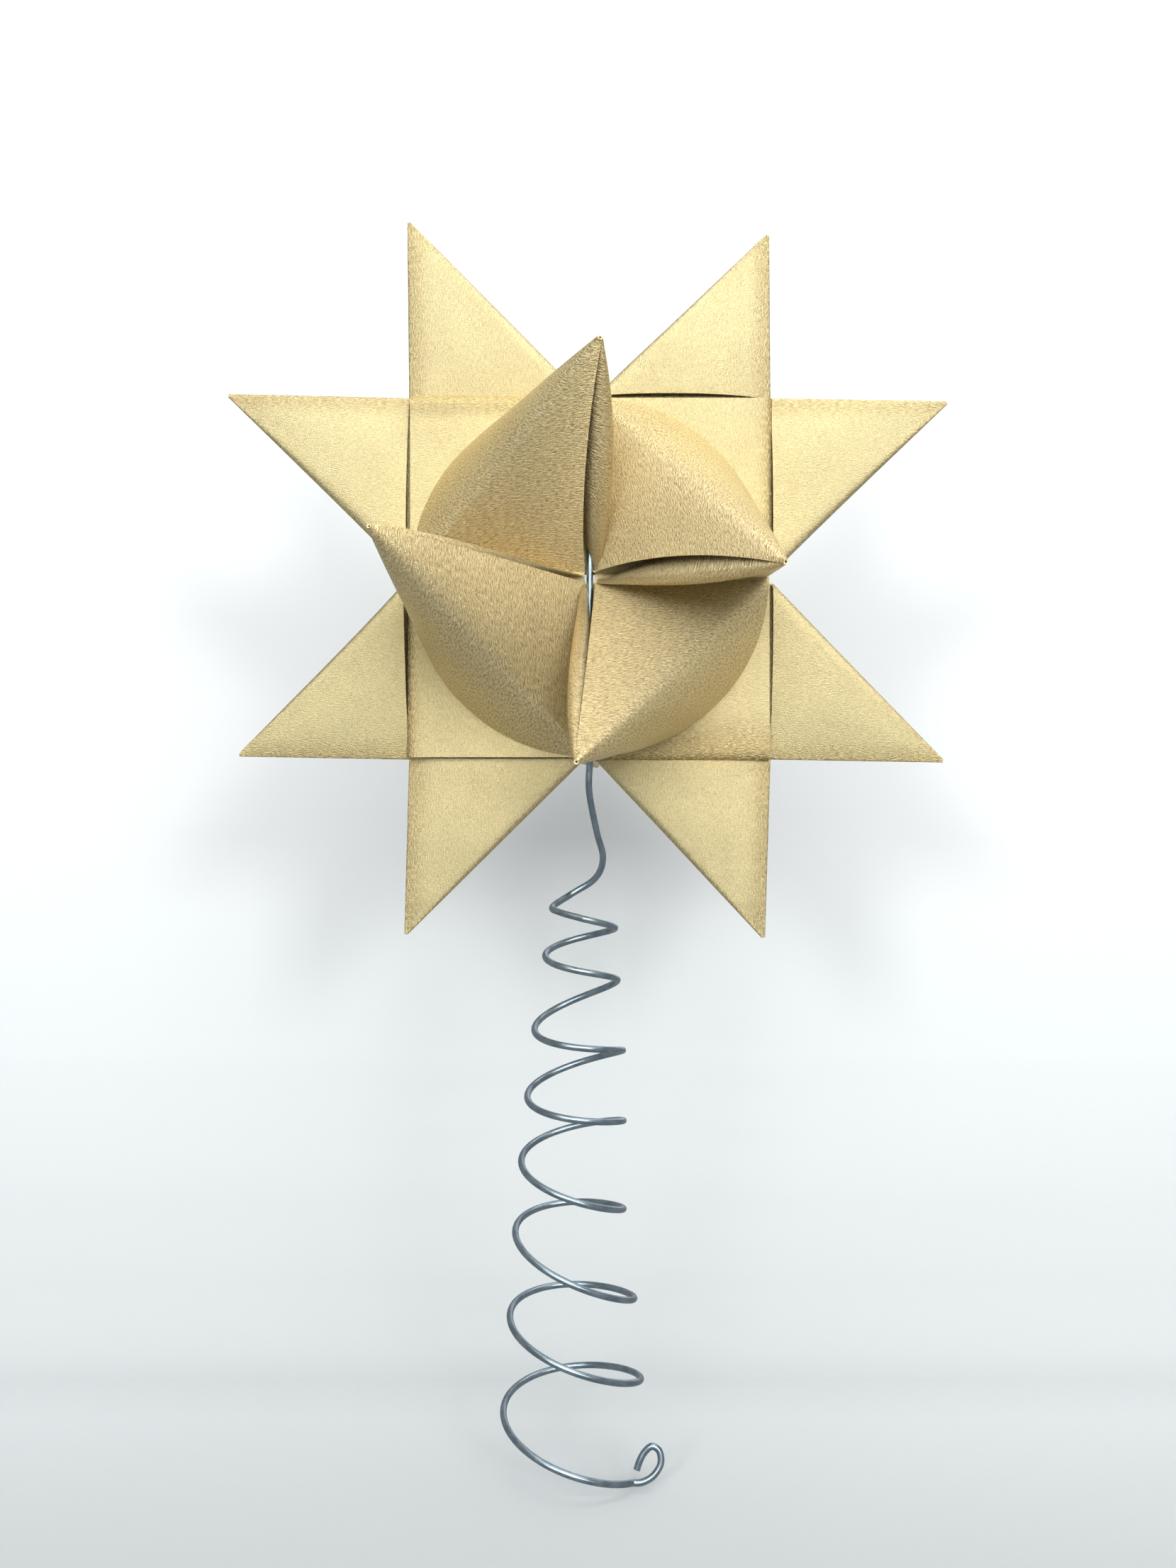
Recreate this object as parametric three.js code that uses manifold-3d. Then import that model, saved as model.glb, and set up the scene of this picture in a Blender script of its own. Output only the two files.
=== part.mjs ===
// A sixteen-point star folded from four doubled paper strips, standing on a conical wire spring.
// Millimetres. +Z is up along the wire, +X is to the right and the star faces -Y.
// The origin is the middle of the spring's open lower end, which slips over the top of a tree.
import * as THREE from "three";
import { mergeVertices } from "three/addons/utils/BufferGeometryUtils.js";
import Module from "manifold-3d";

// Paper strips. One cell of the 2 x 2 woven square is one strip wide.
const STRIP_WIDTH = 30;
const PAPER = 0.3;
const LAYER_GAP = 0.3;
const EDGE_GAP = 0.9;
const OUTER_EDGE_GAP = 1.3;
const FOLD_GAP = 0.15;
const POINT_THICKNESS = 2.4;
const POINT_GAP = 1.2;
const TIP_ROUND = 0.5;
const CONE_HEIGHT = 31;
const CONE_REACH = 1.02 * STRIP_WIDTH;
const CONE_LEAN = 0.05 * STRIP_WIDTH;
const CONE_STEPS = 14;
const MOUTH_WIDTH = 3;
const MOUTH_DEPTH = 5;
const MOUTH_START = -0.02;
const MOUTH_END = 0.8;

// Spring wire. Turns are counted from the coil's first left-hand extreme, downwards.
const WIRE_RADIUS = 0.55;
const WIRE_SIDES = 8;
const STEM_TOP = 22;
const STEM_BOTTOM = -STRIP_WIDTH;
const STEM_GAP = 0.4;
const NECK_TOP = STEM_BOTTOM - 0.4;
const NECK_END_TURN = 0.25;
const UPPER_END_TURN = 2.5;
const MIDDLE_END_TURN = 5;
const COIL_END_TURN = 7.4;
const STEPS_PER_TURN = 20;
const WIRE_CUT = 0.35;

// The spring's left and right sides at every half turn, as [x, z] from the star's centre. It is wound by
// hand, so its turns lean one way near the top and the other way near the foot.
const HALF_TURNS = [
  [-6.2, -54.7],
  [4.2, -58.2],
  [-7.4, -62.7],
  [4.6, -66.9],
  [-9.2, -74.9],
  [5.5, -78.6],
  [-10.4, -86.1],
  [5.6, -90.3],
  [-11.4, -96.8],
  [5.6, -105.0],
  [-12.4, -108.5],
  [7.4, -119.9],
  [-13.3, -122.5],
  [8.5, -133.3],
  [-14.4, -138.4],
  [9.2, -148.8],
];

// The hook at the wire's lower end, as [x, y, z] from the star's centre.
const HOOK = [
  [8.5, -6.9, -147.2],
  [10.3, -6.6, -146.3],
  [11.5, -6.1, -144.6],
  [11.3, -5.6, -142.8],
  [10.1, -5.4, -142.1],
  [8.9, -5.5, -143.0],
  [8.1, -5.8, -144.3],
  [7.6, -6.1, -145.6],
];

// The star's centre, seen from the origin.
const STAR_X = 3.0;
const STAR_Z = 148;

// Distances from the star's middle plane. The stem lies in the crack between the left and right columns.
const INNER_LAYER = 0.9;
const OUTER_LAYER = INNER_LAYER + PAPER + LAYER_GAP;
const CONE_BASE = OUTER_LAYER + PAPER / 2 + LAYER_GAP;
const STEM_Y = -(INNER_LAYER + PAPER / 2 + STEM_GAP + WIRE_RADIUS);

const wasm = await Module();
wasm.setup();

function material(colour, roughness, metalness) {
  return new THREE.MeshStandardMaterial({ color: colour, roughness, metalness });
}

const goldPaper = () => material(0xd9c08a, 0.42, 0.45);
const shadedPaper = () => material(0xc9ad78, 0.45, 0.45);
const galvanisedWire = () => material(0x9a9fa3, 0.3, 1);

function named(name, geometry, finish) {
  const mesh = new THREE.Mesh(geometry, finish);
  mesh.name = name;
  return mesh;
}

// A closed geometry as a manifold-3d solid.
function solid(geometry) {
  const bare = geometry.index ? geometry.toNonIndexed() : geometry.clone();
  bare.deleteAttribute("normal");
  bare.deleteAttribute("uv");
  const merged = mergeVertices(bare, 1e-4);
  const vertProperties = new Float32Array(merged.attributes.position.array);
  const triVerts = new Uint32Array(merged.index.array);
  return new wasm.Manifold(new wasm.Mesh({ numProp: 3, vertProperties, triVerts }));
}

function geometryOf(manifold) {
  const mesh = manifold.getMesh();
  const geometry = new THREE.BufferGeometry();
  geometry.setAttribute("position", new THREE.BufferAttribute(mesh.vertProperties, 3));
  geometry.setIndex(new THREE.BufferAttribute(mesh.triVerts, 1));
  geometry.computeVertexNormals();
  return geometry;
}

// An outline in star coordinates (x to the right, z up), given a thickness along Y.
function plate(outline, yFront, thickness) {
  const shape = new THREE.Shape(outline.map(([x, z]) => new THREE.Vector2(x, z)));
  const geometry = new THREE.ExtrudeGeometry(shape, { depth: thickness, bevelEnabled: false, steps: 1 });
  geometry.rotateX(Math.PI / 2);
  geometry.translate(0, yFront + thickness, 0);
  return geometry;
}

// One strip folded double: a hairpin that is the outer layer over the upper cell and the inner layer
// under the lower one. The outline is drawn in the (z, y) plane and swept across the strip's width.
function wovenBand() {
  const low = -STRIP_WIDTH + EDGE_GAP;
  const top = STRIP_WIDTH - FOLD_GAP;
  const half = PAPER / 2;
  const side = (offset) => [
    [low, INNER_LAYER + offset],
    [-EDGE_GAP, INNER_LAYER + offset],
    [EDGE_GAP, OUTER_LAYER + offset],
    [top - OUTER_LAYER, OUTER_LAYER + offset],
  ];
  const fold = (radius) => {
    const points = [];
    for (let i = 1; i < 8; i += 1) {
      const angle = Math.PI / 2 - (Math.PI * i) / 8;
      points.push([top - OUTER_LAYER + radius * Math.cos(angle), radius * Math.sin(angle)]);
    }
    return points;
  };
  const mirrored = (points) => points.map(([z, y]) => [z, -y]).reverse();
  const outside = [...side(half), ...fold(OUTER_LAYER + half), ...mirrored(side(half))];
  const inside = [...side(-half), ...fold(OUTER_LAYER - half), ...mirrored(side(-half))];
  const outline = [...outside, ...inside.reverse()];
  const shape = new THREE.Shape(outline.map(([z, y]) => new THREE.Vector2(y, z)));
  const width = STRIP_WIDTH - EDGE_GAP - OUTER_EDGE_GAP;
  const geometry = new THREE.ExtrudeGeometry(shape, { depth: width, bevelEnabled: false, steps: 1 });
  // Shape x is the star's y, shape y is z and the sweep runs along x.
  const axes = new THREE.Matrix4().makeBasis(
    new THREE.Vector3(0, 1, 0),
    new THREE.Vector3(0, 0, 1),
    new THREE.Vector3(1, 0, 0),
  );
  geometry.applyMatrix4(axes);
  geometry.translate(-STRIP_WIDTH + OUTER_EDGE_GAP, 0, 0);
  return geometry;
}

// A flat point: a folded right-angled triangle on the outer side of a cell, blunt at its tip.
function uprightPoint() {
  const w = STRIP_WIDTH;
  const left = -w + EDGE_GAP / 2;
  const base = w + EDGE_GAP / 2;
  const right = -POINT_GAP;
  const tip = 2 * w;
  const outline = [
    [left, base],
    [right, base],
    [left + 2 * TIP_ROUND, tip - TIP_ROUND],
    [left, tip],
  ];
  return plate(outline, -POINT_THICKNESS / 2, POINT_THICKNESS);
}

function sidewaysPoint() {
  const w = STRIP_WIDTH;
  const top = w - EDGE_GAP / 2;
  const right = -w - EDGE_GAP / 2;
  const low = POINT_GAP;
  const tip = -2 * w;
  const outline = [
    [right, top],
    [tip, top],
    [tip + TIP_ROUND, top - 2 * TIP_ROUND],
    [right, low],
  ];
  return plate(outline, -POINT_THICKNESS / 2, POINT_THICKNESS);
}

// The closed body of one rolled cone. Local x runs to the cone's tip side, local y to the slot that the
// strip comes out of, and local z is the height over the star.
function coneBody() {
  const w = STRIP_WIDTH;
  const apex = [CONE_REACH, -CONE_LEAN, CONE_HEIGHT];
  const base = [[EDGE_GAP, EDGE_GAP]];
  for (let i = 0; i <= CONE_STEPS; i += 1) {
    const angle = (Math.PI / 2) * (i / CONE_STEPS);
    const x = EDGE_GAP + (w - 2 * EDGE_GAP) * Math.sin(angle);
    const y = EDGE_GAP + (w - 2 * EDGE_GAP) * Math.cos(angle);
    base.push([x, y]);
  }
  const positions = [];
  const corner = (point) => positions.push(...point);
  base.forEach((from, i) => {
    const to = base[(i + 1) % base.length];
    corner([...to, CONE_BASE]);
    corner([...from, CONE_BASE]);
    corner(apex);
    if (i > 0 && i < base.length - 1) {
      corner([...base[0], CONE_BASE]);
      corner([...from, CONE_BASE]);
      corner([...to, CONE_BASE]);
    }
  });
  const geometry = new THREE.BufferGeometry();
  geometry.setAttribute("position", new THREE.BufferAttribute(new Float32Array(positions), 3));
  return geometry;
}

// The lens-shaped mouth between the cone's free edge and the sheet that returns to the star.
function coneMouth() {
  const foot = new THREE.Vector3(EDGE_GAP, EDGE_GAP, CONE_BASE);
  const apex = new THREE.Vector3(CONE_REACH, -CONE_LEAN, CONE_HEIGHT);
  const along = apex.clone().sub(foot);
  const length = along.length();
  along.normalize();
  const inward = new THREE.Vector3(1, 1, -1);
  inward.addScaledVector(along, -inward.dot(along)).normalize();
  const across = new THREE.Vector3().crossVectors(inward, along).normalize();
  const lens = new THREE.Shape();
  const middle = ((MOUTH_START + MOUTH_END) / 2) * length;
  lens.moveTo(MOUTH_START * length, 0);
  lens.quadraticCurveTo(middle, MOUTH_WIDTH, MOUTH_END * length, 0);
  lens.quadraticCurveTo(middle, -MOUTH_WIDTH, MOUTH_START * length, 0);
  const geometry = new THREE.ExtrudeGeometry(lens, {
    depth: 2 * MOUTH_DEPTH,
    bevelEnabled: false,
    steps: 1,
    curveSegments: 8,
  });
  geometry.translate(0, 0, -MOUTH_DEPTH);
  geometry.applyMatrix4(new THREE.Matrix4().makeBasis(along, across, inward));
  geometry.translate(foot.x, foot.y, foot.z);
  return geometry;
}

function coneGeometry() {
  const body = solid(coneBody());
  const mouth = solid(coneMouth());
  return geometryOf(body.subtract(mouth));
}

// The spring's centre, radius and height at every half turn.
const coilKnots = HALF_TURNS.map(([x, z], k) => {
  const before = HALF_TURNS[k > 0 ? k - 1 : 1][0];
  const after = HALF_TURNS[k < HALF_TURNS.length - 1 ? k + 1 : k - 1][0];
  const across = (before + after) / 2;
  return { centre: (x + across) / 2, radius: Math.abs(x - across) / 2, z };
});

// One of those values after any number of turns, on a smooth curve through the knots.
function coilValue(key, turns) {
  const last = coilKnots.length - 1;
  const place = Math.min(2 * turns, last);
  const i = Math.min(Math.floor(place), last - 1);
  const f = place - i;
  const at = (k) => coilKnots[THREE.MathUtils.clamp(k, 0, last)][key];
  const [a, b, c, d] = [at(i - 1), at(i), at(i + 1), at(i + 2)];
  const bend = (2 * a - 5 * b + 4 * c - d) * f * f + (3 * b - a - 3 * c + d) * f * f * f;
  return b + ((c - a) * f + bend) / 2;
}

// Where the spring's wire is after a number of turns, seen from the star's centre.
function coilPoint(turns) {
  const radius = coilValue("radius", turns);
  const angle = 2 * Math.PI * turns;
  const x = coilValue("centre", turns) - radius * Math.cos(angle);
  return new THREE.Vector3(x, -radius * Math.sin(angle), coilValue("z", turns));
}

class Coil extends THREE.Curve {
  constructor(from, to) {
    super();
    this.from = from;
    this.to = to;
  }

  getPoint(t, target = new THREE.Vector3()) {
    return target.copy(coilPoint(this.from + (this.to - this.from) * t));
  }
}

// Round wire along a curve. Both ends are cut back a little, so that two lengths never touch.
function wire(curve, steps) {
  const round = new THREE.Shape();
  for (let i = 0; i <= WIRE_SIDES; i += 1) {
    const angle = (2 * Math.PI * (i % WIRE_SIDES)) / WIRE_SIDES;
    const x = WIRE_RADIUS * Math.cos(angle);
    const y = WIRE_RADIUS * Math.sin(angle);
    if (i === 0) round.moveTo(x, y);
    else round.lineTo(x, y);
  }
  return new THREE.ExtrudeGeometry(round, { steps, extrudePath: curve, bevelEnabled: false });
}

function coilLength(from, to) {
  const cut = WIRE_CUT / 2 / (2 * Math.PI * coilValue("radius", (from + to) / 2));
  const steps = Math.round(STEPS_PER_TURN * (to - from));
  return wire(new Coil(from + cut, to - cut), steps);
}

function stemGeometry() {
  const ends = [new THREE.Vector3(0, STEM_Y, STEM_BOTTOM), new THREE.Vector3(0, STEM_Y, STEM_TOP)];
  return wire(new THREE.LineCurve3(...ends), 4);
}

// The bend that carries the wire from the star's centre line out to the first turn of the coil.
function neckGeometry() {
  const bend = [
    new THREE.Vector3(0, STEM_Y, NECK_TOP),
    new THREE.Vector3(-0.1, 0.9 * STEM_Y, -35.4),
    new THREE.Vector3(1.1, 0.4 * STEM_Y, -41.9),
    new THREE.Vector3(2.2, 1.2, -46.6),
    new THREE.Vector3(0.9, 3.9, -50.2),
    new THREE.Vector3(-3.2, 3.9, -52.9),
  ];
  const turns = [0, 0.12, NECK_END_TURN - 0.01];
  const path = new THREE.CatmullRomCurve3([...bend, ...turns.map(coilPoint)]);
  return wire(path, 30);
}

// The wire's lower end, turned up and back into a small open hook beside the last turn.
function hookGeometry() {
  const start = coilPoint(COIL_END_TURN);
  const next = coilPoint(COIL_END_TURN + 0.01);
  const heading = next.clone().sub(start).normalize();
  const from = start.clone().addScaledVector(heading, WIRE_CUT / 2);
  const bends = HOOK.map((place) => new THREE.Vector3(...place));
  return wire(new THREE.CatmullRomCurve3([from, ...bends]), 32);
}

function paperStar() {
  const star = new THREE.Group();
  const cone = coneGeometry();
  ["a", "b", "c", "d"].forEach((letter, quarter) => {
    const strip = new THREE.Group();
    strip.rotation.y = (quarter * Math.PI) / 2;
    strip.add(named(`strip_${letter}_band`, wovenBand(), goldPaper()));
    strip.add(named(`strip_${letter}_upright_point`, uprightPoint(), goldPaper()));
    strip.add(named(`strip_${letter}_side_point`, sidewaysPoint(), goldPaper()));
    // Local x, y and z of a cone are the star's +Z, -X and -Y at the front.
    const frontCone = named(`strip_${letter}_front_cone`, cone.clone(), shadedPaper());
    frontCone.applyMatrix4(
      new THREE.Matrix4().makeBasis(
        new THREE.Vector3(0, 0, 1),
        new THREE.Vector3(-1, 0, 0),
        new THREE.Vector3(0, -1, 0),
      ),
    );
    strip.add(frontCone);
    const backCone = named(`strip_${letter}_back_cone`, cone.clone(), shadedPaper());
    backCone.applyMatrix4(
      new THREE.Matrix4().makeBasis(
        new THREE.Vector3(0, 0, 1),
        new THREE.Vector3(1, 0, 0),
        new THREE.Vector3(0, 1, 0),
      ),
    );
    strip.add(backCone);
    star.add(strip);
  });
  return star;
}

function wireStand() {
  const stand = new THREE.Group();
  const pieces = {
    wire_stem: stemGeometry(),
    wire_neck: neckGeometry(),
    coil_upper: coilLength(NECK_END_TURN, UPPER_END_TURN),
    coil_middle: coilLength(UPPER_END_TURN, MIDDLE_END_TURN),
    coil_lower: coilLength(MIDDLE_END_TURN, COIL_END_TURN),
    wire_end_eye: hookGeometry(),
  };
  for (const [name, geometry] of Object.entries(pieces)) {
    stand.add(named(name, geometry, galvanisedWire()));
  }
  return stand;
}

const group = new THREE.Group();
const raised = new THREE.Group();
raised.position.set(STAR_X, 0, STAR_Z);
raised.add(paperStar());
raised.add(wireStand());
group.add(raised);

export default group;
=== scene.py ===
"""A sixteen-point star folded from four doubled strips of pearl-gold paper, on a conical wire spring.

The star faces -Y. One quarter of it is described once, in the star's own millimetres, and turned
three times about the star's centre. Local points are (x to the right, z up, h towards the viewer).
"""

import math

import bpy
import numpy as np
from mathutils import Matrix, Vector

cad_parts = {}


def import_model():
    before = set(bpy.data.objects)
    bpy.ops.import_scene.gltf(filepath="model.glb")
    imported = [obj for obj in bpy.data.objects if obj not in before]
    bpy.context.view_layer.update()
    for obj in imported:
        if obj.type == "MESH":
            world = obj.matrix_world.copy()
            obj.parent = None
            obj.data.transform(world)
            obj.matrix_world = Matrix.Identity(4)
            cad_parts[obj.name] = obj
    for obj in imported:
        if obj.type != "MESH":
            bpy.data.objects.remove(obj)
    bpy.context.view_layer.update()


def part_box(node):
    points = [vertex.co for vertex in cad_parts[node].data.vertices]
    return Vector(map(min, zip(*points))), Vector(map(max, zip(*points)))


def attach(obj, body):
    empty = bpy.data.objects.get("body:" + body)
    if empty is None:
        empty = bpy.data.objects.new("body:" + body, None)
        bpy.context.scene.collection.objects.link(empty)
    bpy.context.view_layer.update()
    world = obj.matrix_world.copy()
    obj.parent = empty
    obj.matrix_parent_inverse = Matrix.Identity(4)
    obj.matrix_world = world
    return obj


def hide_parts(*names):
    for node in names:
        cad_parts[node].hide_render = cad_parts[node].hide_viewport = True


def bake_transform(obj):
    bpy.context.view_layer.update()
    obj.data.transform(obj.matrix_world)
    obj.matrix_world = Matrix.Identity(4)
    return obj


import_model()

MM = 0.001

# Places taken from the frame, in millimetres.
_low, _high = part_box("strip_a_band")
STAR_Z = (_low.z + _high.z) / 2 / MM
STEM_LOW, STEM_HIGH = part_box("wire_stem")
STAR_X = (STEM_LOW.x + STEM_HIGH.x) / 2 / MM
STEM_H = -(STEM_LOW.y + STEM_HIGH.y) / 2 / MM
WIRE_RADIUS = (STEM_HIGH.x - STEM_LOW.x) / 2 / MM

# The folded strips, in millimetres. W is one strip's width, and so one cell of the woven square. The two
# woven layers of each face lie INNER_H and OUTER_H from the star's middle plane.
W = 30.0
PAPER = 0.24
INNER_H = 0.9
OUTER_H = 1.5
QUARTERS = "abcd"

# The rolled cones, in millimetres. In a cone's own plane, p runs to the tip side and q to the slot that the
# strip comes out of, both from the star's centre. The free edge starts at (EDGE_P, EDGE_Q), and the arc that
# the cone stands on has its middle at (ARC_CENTRE, ARC_CENTRE).
EDGE_P, EDGE_Q = 0.7, 0.9
ARC_CENTRE = 0.3
ARC_RADIUS = 29.2
CONE_BASE_H = OUTER_H + PAPER
HEART = np.array([0.5 * ARC_RADIUS, 0.4 * ARC_RADIUS, CONE_BASE_H])
TIP_ROLL = 0.3
BELLY = 0.9
# The lobe in the mouth: shares of its size across (to the free edge's side when negative) and above the
# mouth, then its foot's place at the star's centre in millimetres, outward and down.
LOBE_SECTION = [
    (1.03, -1.05, 1.30, 0.0), (1.04, -0.78, 1.30, 0.0), (0.97, -0.52, 1.25, 0.0),
    (0.82, -0.30, 1.15, 0.0), (0.60, -0.15, 1.00, 0.1), (0.34, -0.08, 0.85, 0.2),
    (0.08, -0.08, 0.75, 0.4), (-0.35, -0.14, 0.65, 0.7), (-0.75, -0.30, 0.60, 1.1),
    (-1.05, -0.60, 0.60, 1.5), (-1.30, -1.00, 0.60, 1.9), (-1.50, -1.45, 0.60, 2.2),
]

# How far apart the sheets lie in the paper's pattern, in millimetres, so that no two look the same.
FLAT_PATTERN_STEP = 40
SIDE_POINT_PATTERN = 70
CONE_PATTERN_STEP = 97
BACK_CONE_PATTERN = 50


def world(x, z, h):
    """A point of the star, in metres in the frame."""
    return Vector(((STAR_X + x) * MM, -h * MM, (STAR_Z + z) * MM))


def turned(quarter, x, z):
    """(x, z) turned clockwise by that many quarter turns, as the viewer sees it."""
    for _ in range(quarter):
        x, z = z, -x
    return x, z


# ---------------------------------------------------------------- materials


class Nodes:
    """Short calls for building one material's node tree."""

    def __init__(self, name):
        self.material = bpy.data.materials.new(name)
        self.material.use_nodes = True
        self.tree = self.material.node_tree
        self.tree.nodes.clear()

    def add(self, kind, inputs=None, **settings):
        node = self.tree.nodes.new(kind)
        for key, value in settings.items():
            setattr(node, key, value)
        for key, value in (inputs or {}).items():
            if isinstance(value, bpy.types.NodeSocket):
                self.tree.links.new(value, node.inputs[key])
            else:
                node.inputs[key].default_value = value
        return node

    def math(self, operation, a, b=0.0):
        return self.add("ShaderNodeMath", {0: a, 1: b}, operation=operation).outputs[0]

    def mix(self, factor, a, b):
        node = self.tree.nodes.new("ShaderNodeMix")
        node.data_type = "RGBA"
        sockets = {s.identifier: s for s in node.inputs}
        for key, value in (("Factor_Float", factor), ("A_Color", a), ("B_Color", b)):
            if isinstance(value, bpy.types.NodeSocket):
                self.tree.links.new(value, sockets[key])
            else:
                sockets[key].default_value = value
        return [s for s in node.outputs if s.identifier == "Result_Color"][0]

    def noise(self, vector, scale, detail, roughness=0.5, distortion=0.0, dimensions="2D"):
        inputs = {"Vector": vector, "Scale": scale, "Detail": detail,
                  "Roughness": roughness, "Distortion": distortion}
        return self.add("ShaderNodeTexNoise", inputs, noise_dimensions=dimensions).outputs["Fac"]

    def stretched(self, vector, across, along):
        inputs = {"Vector": vector, "Scale": (across, along, 1.0)}
        return self.add("ShaderNodeMapping", inputs).outputs["Vector"]

    def ramp(self, factor, stops):
        node = self.add("ShaderNodeValToRGB", {"Fac": factor})
        ramp = node.color_ramp
        while len(ramp.elements) < len(stops):
            ramp.elements.new(0.5)
        for element, (place, colour) in zip(ramp.elements, stops):
            element.position = place
            element.color = colour
        return node.outputs["Color"]

    def finish(self, shader):
        self.add("ShaderNodeOutputMaterial", {"Surface": shader.outputs[0]})
        return self.material


def rgb(red, green, blue):
    """An sRGB colour, 0 to 255, as a linear RGBA tuple."""
    def linear(value):
        value /= 255
        return value / 12.92 if value <= 0.04045 else ((value + 0.055) / 1.055) ** 2.4
    return (linear(red), linear(green), linear(blue), 1.0)


def shaded(tint, red, green, blue):
    """An sRGB tint with its channels scaled, as a linear RGBA tuple no brighter than white."""
    return rgb(*(min(255, channel * scale) for channel, scale in zip(tint, (red, green, blue))))


# Ramps that pick out the lowest or the highest places of a noise pattern are drawn between these two.
BLACK = (0, 0, 0, 1)
WHITE = (1, 1, 1, 1)


def gold_paper(name, tint, roughness, wrinkling, fine_bump_and_speck_shading):
    """Pearl-gold paper with a metallic sheen and short crepe wrinkles across the strip, with painted shade in
    their valleys, painted highlights on their crests, painted shade in tiny pits, painted glints, and painted
    shade near folds.

    wrinkling is how deep the wrinkles are and how strong their painted shade and highlights, and the last
    argument how strong the fine bumps, the painted shade in pits and the painted glints.
    """
    n = Nodes(name)
    # UV is in millimetres: x runs across the strip, y along it.
    uv = n.add("ShaderNodeUVMap", uv_map="strip").outputs["UV"]
    wrinkle = n.noise(n.stretched(uv, 1.3, 5.2), 1.0, 3.0, roughness=0.62, distortion=0.3)
    fine = n.noise(uv, 7.0, 2.0, roughness=0.6)
    speck = n.noise(uv, 6.0, 1.0, roughness=0.7)
    broad = n.noise(uv, 0.09, 2.0)
    # The fold attribute rises from 0 to 1 where the paper nears a fold, and brings painted shade and stronger
    # wrinkles there. From 1 to 2 it adds stronger painted shade along creases.
    fold = n.add("ShaderNodeAttribute", attribute_name="fold").outputs["Fac"]
    more = n.math("ADD", n.math("MULTIPLY", fold, 0.3), wrinkling)
    height = n.math("ADD", n.math("MULTIPLY", wrinkle, more), n.math("MULTIPLY", fine, fine_bump_and_speck_shading))
    bump = n.add("ShaderNodeBump", {"Height": height, "Strength": 1.0, "Distance": 0.0005})

    # Shaded copies of the tint for painted shade, and a brighter copy for painted highlights and glints.
    folded = shaded(tint, 0.86, 0.78, 0.70)
    crease_shade_colour = shaded(tint, 0.42, 0.32, 0.26)
    valley_shade_colour = shaded(tint, 0.72, 0.66, 0.60)
    pit_shade_colour = shaded(tint, 0.62, 0.54, 0.44)
    highlight_colour = shaded(tint, 1.12, 1.12, 1.12)
    colour = n.ramp(broad, [(0.35, shaded(tint, 0.97, 0.97, 0.97)), (0.65, rgb(*tint))])
    # Painted shade towards folds, and stronger painted shade along creases.
    colour = n.mix(n.math("MULTIPLY", fold, 0.6), colour, folded)
    crease_shade = n.math("SUBTRACT", fold, 1.0)
    colour = n.mix(n.math("MAXIMUM", crease_shade, 0.0), colour, crease_shade_colour)
    # Painted shade in the wrinkles' valleys and painted highlights on their crests.
    valley_shade = n.ramp(wrinkle, [(0.36, WHITE), (0.50, BLACK)])
    crest_highlight = n.ramp(wrinkle, [(0.50, BLACK), (0.62, WHITE)])
    colour = n.mix(n.math("MULTIPLY", valley_shade, n.math("MULTIPLY", more, 1.5)), colour, valley_shade_colour)
    colour = n.mix(n.math("MULTIPLY", crest_highlight, n.math("MULTIPLY", more, 1.2)), colour, highlight_colour)
    # Painted shade in tiny pits, and painted glints on bright specks.
    pit_shade = n.ramp(speck, [(0.33, WHITE), (0.43, BLACK)])
    painted_glint = n.ramp(speck, [(0.58, BLACK), (0.70, WHITE)])
    colour = n.mix(n.math("MULTIPLY", pit_shade, 1.4 * fine_bump_and_speck_shading), colour, pit_shade_colour)
    colour = n.mix(n.math("MULTIPLY", painted_glint, 1.1 * fine_bump_and_speck_shading), colour, highlight_colour)

    rough = n.math("ADD", n.math("MULTIPLY", fine, 0.2), roughness - 0.1)
    return n.finish(n.add("ShaderNodeBsdfPrincipled", {
        "Base Color": colour, "Roughness": rough, "Metallic": 0.93, "Normal": bump.outputs["Normal"]}))


def paper_edge():
    """The pale cut edge of the paper, where the uncoated core shows."""
    n = Nodes("paper_cut_edge")
    place = n.add("ShaderNodeTexCoord").outputs["Object"]
    fibre = n.noise(place, 4000.0, 2.0, dimensions="3D")
    colour = n.ramp(fibre, [(0.35, rgb(176, 156, 112)), (0.65, rgb(214, 197, 156))])
    return n.finish(n.add("ShaderNodeBsdfPrincipled", {"Base Color": colour, "Roughness": 0.8}))


def galvanised_wire():
    """Drawn galvanised wire: slate grey, semi-bright, with faint die marks along it and dull patches."""
    n = Nodes("galvanised_wire")
    # UV is in millimetres: x runs round the wire, y along it.
    uv = n.add("ShaderNodeUVMap", uv_map="strip").outputs["UV"]
    scratch = n.noise(n.stretched(uv, 7.0, 0.25), 1.0, 3.0)
    patch = n.noise(uv, 0.35, 2.0)
    colour = n.ramp(patch, [(0.35, rgb(120, 137, 149)), (0.65, rgb(146, 161, 171))])
    colour = n.mix(n.math("MULTIPLY", scratch, 0.25), colour, rgb(178, 186, 191))
    rough = n.math("ADD", n.math("MULTIPLY", patch, 0.2), 0.18)
    bump = n.add("ShaderNodeBump", {"Height": scratch, "Strength": 0.3, "Distance": 0.00003})
    return n.finish(n.add("ShaderNodeBsdfPrincipled", {
        "Base Color": colour, "Roughness": rough, "Metallic": 0.95, "Normal": bump.outputs["Normal"]}))


def wire_cut_end():
    """The sheared end of the wire: bare grainy steel."""
    n = Nodes("wire_cut_end")
    place = n.add("ShaderNodeTexCoord").outputs["Object"]
    grain = n.noise(place, 6000.0, 2.0, dimensions="3D")
    colour = n.ramp(grain, [(0.3, rgb(120, 124, 126)), (0.7, rgb(190, 192, 192))])
    return n.finish(n.add("ShaderNodeBsdfPrincipled", {
        "Base Color": colour, "Roughness": 0.45, "Metallic": 1.0}))


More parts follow.
